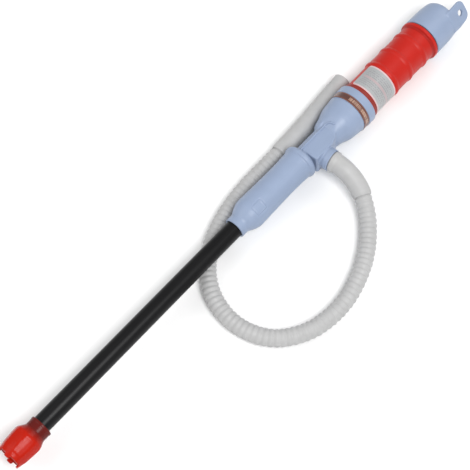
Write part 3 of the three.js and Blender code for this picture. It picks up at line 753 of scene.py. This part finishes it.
def battery_case():
    """The red ring, the waved grip, the flange and the threaded neck, channelled for the contact strip."""
    waves = []
    for at in WAVES:
        waves += [(at - 2.8, 19.55, 1.5), (at - 1.6, 20.25, 1.5), (at, 20.6, 2), (at + 1.6, 20.25, 1.5),
                  (at + 3.3, 19.55, 1.5)]
    case = turned("battery_case_visual", filleted([
        (464, 17, 0), (464, 18.3, 0), (471.3, 18.3, 0.3), (471.3, 20.85, 0.3), (475.4, 20.4, 0.5),
        (476, 19.2, 0.4), (504.2, 19.2, 0.3), *waves, (562.5, 19.4, 1), (564.2, 19.7, 0.8),
        (565, 20.9, 0.3), (565.3, 21.5, 0.2), (565.7, 21.65, 0.2), (568.3, 21.65, 0.3), (568.7, 21.3, 0.2),
        (568.7, 18.3, 0.3), (591, 18.3, 0.4), (591, 17.25, 0.2), (474.3, 17.25, 0), (474.3, 3.5, 0),
        (472.6, 3.5, 0), (472.6, 17, 0),
    ]), 192)
    section = np.array([(-1.5, 18.0), (-0.9, 19.25), (0.9, 19.25), (1.5, 18.0)])
    case = combined(case, ridge("thread", section, 575.5, 2, THREAD_LEAD))
    corners = np.array([(along, y, z) for along in (463, 597) for y, z in
                        ((-2.5, -17.95), (2.5, -17.95), (2.5, -16), (-2.5, -16))], float)
    channel = lofted("channel", set_down(corners).reshape(2, 4, 3), closed=False)
    return combined(case, channel, "DIFFERENCE")


CAP_OUTLINE = filleted([
    (569.9, -20, 0), (569.9, 20.9, 0.4), (570.5, 21.4, 0.5), (582, 21.35, 6), (590, 21.1, 10),
    (596, 20.6, 8), (600, 20.1, 5), (602.5, 19.15, 3), (604.3, 17.6, 2.5), (605.2, 15.5, 2),
    (605.6, 12, 3), (605.7, -20, 0),
])
CAP_CAVITY = filleted([
    (560, -20, 0), (560, 19.6, 0), (591.5, 19.6, 0.5), (594, 18.8, 1), (598.5, 18.1, 2), (602, 16.9, 1.5),
    (603.8, 15.2, 1), (603.8, -20, 0),
])
TAB_ROLL, TAB_SLOPE = math.radians(42), 0.096
TAB_LEAN = math.atan(TAB_SLOPE)
TAB_FROM, TAB_TO, TAB_HALF, TAB_THICKNESS = 597, 621.8, 10.5, 3
TAB_OUTLINE = filleted([
    (580, -16, 0), (603, -14, 8), (TAB_TO, -TAB_HALF + 1, 7), (TAB_TO, TAB_HALF, 6.5), (580, TAB_HALF, 0),
])
TAB_HOLE_AT, TAB_HOLE_RADIUS = 612.5, 3.2


def face_distance(along):
    """How far the tab's outer face is from the axis."""
    return 21.15 - TAB_SLOPE * (along - 585)


def cap_field(points):
    """The screw cap: a domed cup whose side flattens into the hanging tab."""
    side = rolled_back(points, TAB_ROLL)
    # The tab's own frame: along the face, across it, and out from it.
    arm = side - (TAB_FROM, -face_distance(TAB_FROM), 0)
    cosine, sine = math.cos(TAB_LEAN), math.sin(TAB_LEAN)
    length = arm[:, 0] * cosine + arm[:, 1] * sine + TAB_FROM
    out = arm[:, 0] * sine - arm[:, 1] * cosine
    cup = crossed(revolved(points, CAP_OUTLINE), out, 0.8)
    half = TAB_THICKNESS / 2
    plate = slab(np.stack([length, side[:, 2], out + half], 1), TAB_OUTLINE, half, 0.9)
    plate = crossed(plate, TAB_FROM - length, 0.5)
    plate = crossed(plate, np.hypot(points[:, 1], points[:, 2]) - 21.4, 0.8)
    shape = joined(cup, plate, 1.6)
    shape = cut(shape, np.hypot(length - TAB_HOLE_AT, side[:, 2]) - TAB_HOLE_RADIUS, 0.9)
    return cut(shape, revolved(points, CAP_CAVITY), 0.4)


def screw_cap():
    cap = moulded("cap_visual", cap_field, (568.5, -22.5, -22.5), (623, 22.5, 22.5), 0.42)
    section = np.array([(-1.5, 20.1), (-0.9, 18.65), (0.9, 18.65), (1.5, 20.1)])
    return combined(cap, ridge("cap_thread", section, 578.5, 1, THREAD_LEAD))


LABEL_FROM, LABEL_LENGTH, LABEL_CORNER = 476.5, 27.7, 2.5
LABEL_OUTSIDE, LABEL_INSIDE = 19.75, 19.5  # radii
LABEL_ROLLS = (-48, 132)


def label():
    """The sticker, a thin sheet bent round the grip, with round corners. Its UVs are (roll, along)."""
    low, high = (math.radians(degrees) for degrees in LABEL_ROLLS)
    share = np.linspace(0, 1, 40)
    rings = []
    for roll in np.linspace(low, high, 181):
        from_end = min(roll - low, high - roll) * LABEL_OUTSIDE
        missing = max(0.0, LABEL_CORNER - from_end)
        inset = LABEL_CORNER - math.sqrt(max(0.0, LABEL_CORNER ** 2 - missing ** 2))
        along = LABEL_FROM + inset + share * (LABEL_LENGTH - 2 * inset)
        outer, inner = on_axis(along, LABEL_OUTSIDE, roll), on_axis(along[::-1], LABEL_INSIDE, roll)
        rings.append(np.concatenate([outer, inner]))
    marks = np.concatenate([share, share[::-1]])
    return lofted("instruction_label_visual", set_down(np.array(rings)), closed=False, marks=marks)


# --------------------------------------------------------------------------------------------------
# The hose
# --------------------------------------------------------------------------------------------------

def smooth_route(points, spacing=0.5):
    """The centripetal Catmull-Rom curve through the points, at an even spacing."""
    points = np.array(points, float)
    points = np.concatenate([[2 * points[0] - points[1]], points, [2 * points[-1] - points[-2]]])
    fine = []
    for a, b, c, d in zip(points, points[1:], points[2:], points[3:]):
        knots = np.cumsum([0, *(np.linalg.norm(q - p) ** 0.5 for p, q in ((a, b), (b, c), (c, d)))])
        t = np.linspace(knots[1], knots[2], 60, endpoint=False)[:, None]

        def lerp(p, q, i, j):
            return ((knots[j] - t) * p + (t - knots[i]) * q) / (knots[j] - knots[i])

        ab, bc, cd = lerp(a, b, 0, 1), lerp(b, c, 1, 2), lerp(c, d, 2, 3)
        fine.append(lerp(lerp(ab, bc, 0, 2), lerp(bc, cd, 1, 3), 1, 2))
    fine = np.concatenate([*fine, points[-2:-1]])
    travelled = np.concatenate([[0], np.cumsum(np.linalg.norm(np.diff(fine, axis=0), axis=1))])
    places = np.linspace(0, travelled[-1], round(travelled[-1] / spacing) + 1)
    return np.stack([np.interp(places, travelled, fine[:, k]) for k in range(3)], 1), places


ROUTE, TRAVELLED = smooth_route(HOSE_ROUTE)
HOSE_LENGTH = float(TRAVELLED[-1])


def along_route(name, profile, sides=48):
    """A ring section of (distance, radius) points carried round the hose's route."""
    tangent = np.gradient(ROUTE, axis=0)
    tangent /= np.linalg.norm(tangent, axis=1)[:, None]
    right = np.cross(tangent, (0, 0, 1))
    right /= np.linalg.norm(right, axis=1)[:, None]
    up = np.cross(right, tangent)
    at = [np.stack([np.interp(profile[:, 0], TRAVELLED, line[:, k]) for k in range(3)], 1)
          for line in (ROUTE, right, up)]
    turn = np.linspace(0, 2 * math.pi, sides, endpoint=False)[None, :, None]
    radius = profile[:, 1][:, None, None]
    rings = at[0][:, None] + radius * (np.cos(turn) * at[1][:, None] + np.sin(turn) * at[2][:, None])
    return lofted(name, rings * MM)


def hose():
    """The corrugated hose, plain where it runs inside its cuffs."""
    first, last = INLET_CUFF_TO * HOSE_LENGTH, OUTLET_CUFF_FROM * HOSE_LENGTH
    count = round((last - first) / CORRUGATION)
    distance = np.linspace(first, last, count * 10 + 1)
    wave = 0.5 - 0.5 * np.cos(2 * math.pi * (distance - first) / (last - first) * count)
    # The ridges are broad and round, and the grooves between them are narrow.
    radius = HOSE_RADIUS - CORRUGATION_DEPTH * (1 - wave ** 0.8)
    plain = HOSE_RADIUS - HOSE_IN_CUFF
    outside = np.stack([distance, radius], 1)
    inlet = np.stack([np.linspace(1.0, first - 1, 26), np.full(26, plain)], 1)
    outlet = np.stack([np.linspace(last + 1, HOSE_LENGTH - 3, 40), np.full(40, plain)], 1)
    outer = np.concatenate([inlet, outside, outlet])
    inner = outer[::-1] - (0, HOSE_WALL)
    return along_route("outlet_hose_visual", np.concatenate([outer, inner]))


def cuff_profile(corners):
    return divided(filleted(corners), 2.0)


def hose_cuffs():
    first, last = INLET_CUFF_TO * HOSE_LENGTH, OUTLET_CUFF_FROM * HOSE_LENGTH
    bore = HOSE_RADIUS - 0.55
    inlet = along_route("hose_inlet_cuff_visual", cuff_profile([
        (0.3, bore, 0.2), (0.3, 9.0, 0.4), (5.9, 9.0, 0.2), (6.3, 10.5, 0.5), (8.9, 10.5, 0.8),
        (11, CUFF_RADIUS, 2), (first - 3.2, CUFF_RADIUS, 1.2), (first - 0.4, 8.9, 0.8),
        (first - 0.2, bore, 0.2),
    ]))
    outlet = along_route("hose_outlet_cuff_visual", cuff_profile([
        (last + 0.2, bore, 0.2), (last + 0.4, 8.9, 0.8), (last + 3.2, CUFF_RADIUS, 1.2),
        (HOSE_LENGTH - 14, CUFF_RADIUS, 1), (HOSE_LENGTH - 13.2, 9.2, 0.6), (HOSE_LENGTH, 9.2, 0.6),
        (HOSE_LENGTH, bore, 0.5),
    ]))
    return inlet, outlet


# --------------------------------------------------------------------------------------------------
# Camera and lights
# --------------------------------------------------------------------------------------------------

def aimed(thing, place, target):
    thing.location = place
    direction = Vector(target) - Vector(place)
    thing.rotation_euler = direction.to_track_quat("-Z", "Y").to_euler()
    bpy.context.scene.collection.objects.link(thing)


CAMERA_PLACE, CAMERA_TARGET = (-0.39244, -0.33091, 1.12935), (-0.02339, -0.00301, 0.02428)


def add_camera():
    data = bpy.data.cameras.new("camera")
    data.lens, data.sensor_width = 100.55, 36
    camera = bpy.data.objects.new("camera", data)
    aimed(camera, CAMERA_PLACE, CAMERA_TARGET)
    bpy.context.scene.camera = camera


def add_light(name, place, size, power):
    data = bpy.data.lights.new(name, "AREA")
    data.shape, data.size, data.energy = "DISK", size, power
    aimed(bpy.data.objects.new(name, data), place, CAMERA_TARGET)


def add_studio():
    world = bpy.data.worlds.new("studio")
    world.use_nodes = True
    world.node_tree.nodes["Background"].inputs["Color"].default_value = (1, 1, 1, 1)
    world.node_tree.nodes["Background"].inputs["Strength"].default_value = 0.5
    bpy.context.scene.world = world
    bpy.context.scene.view_settings.view_transform = "Standard"
    add_light("key", (-0.25, -0.75, 1.5), 0.8, 20)
    add_light("fill", (-0.9, 0.9, 1.3), 1.4, 9)
    add_light("side", (1.3, -0.2, 1.0), 1.0, 5)
    bpy.ops.mesh.primitive_plane_add(size=8)
    floor = bpy.context.object
    floor.name = "floor"
    finish = Finish("floor", Roughness=0.9, Specular_IOR_Level=0.1)
    finish.coloured(finish.mottled((0.90, 0.90, 0.90), 0.01, 60))
    floor.data.materials.append(finish.material)


# --------------------------------------------------------------------------------------------------
# Building the whole
# --------------------------------------------------------------------------------------------------

add_camera()
MATERIALS = make_materials()

hose_piece = finished(hose(), "hose_plastic", "pump", ["outlet_hose"], 60)
inlet_cuff, outlet_cuff = hose_cuffs()
finished(inlet_cuff, "hose_plastic", "pump", ["hose_inlet_cuff"])
finished(outlet_cuff, "hose_plastic", "pump", ["hose_outlet_cuff"])

finished(moulded("foot_visual", foot_field, (-1, -15.5, -15.5), (43.5, 15.5, 15.5), 0.34),
         "foot_plastic", "pump", ["foot_housing"], 180)
finished(moulded("strainer_visual", strainer_field, (2.5, -11.5, -11.5), (6, 11.5, 11.5), 0.25),
         "foot_plastic", "pump", ["intake_strainer"], 180)
finished(turned("suction_tube_visual", filleted([
    (TUBE_FROM, 6.8, 0.2), (TUBE_FROM, 8.7, 0.3), (TUBE_TO, 8.7, 0.3), (TUBE_TO, 6.8, 0.2),
])), "black_tube", "pump", ["suction_tube"])
finished(turned("tube_sleeve_visual", divided(SLEEVE_OUTLINE, 0.7), 256, sleeve_relief),
         "blue_plastic", "pump", ["tube_sleeve"])
finished(pump_body(), "blue_plastic", "pump", ["pump_body"], 60)
finished(turned("trim_band_visual", divided(filleted([
    (455, 21.25, 0.05), (455, 21.65, 0.15), (462, 21.65, 0.15), (462, 21.25, 0.05),
]), 1.0), 256), "band_print", "pump", ["trim_band"])
finished(battery_case(), "red_plastic", "pump", ["battery_case"])
finished(label(), "label_paper", "pump", ["instruction_label"])
finished(turned("case_seal_visual", filleted([
    (569, 18.6, 0.2), (569, 20.9, 0.15), (569.6, 20.9, 0.15), (569.6, 19.3, 0.1), (570.9, 19.3, 0.3),
    (570.9, 18.6, 0.2),
])), "rubber", "pump", ["case_seal"])
finished(screw_cap(), "blue_plastic", "cap", ["cap"], 60)

for part in frame["record"]["subparts"]:
    node = frame["nodes"].get(part["node"])
    if node is not None and not node.hide_render:
        node.data.materials.clear()
        node.data.materials.append(MATERIALS[part["material_slot"]])

add_studio()
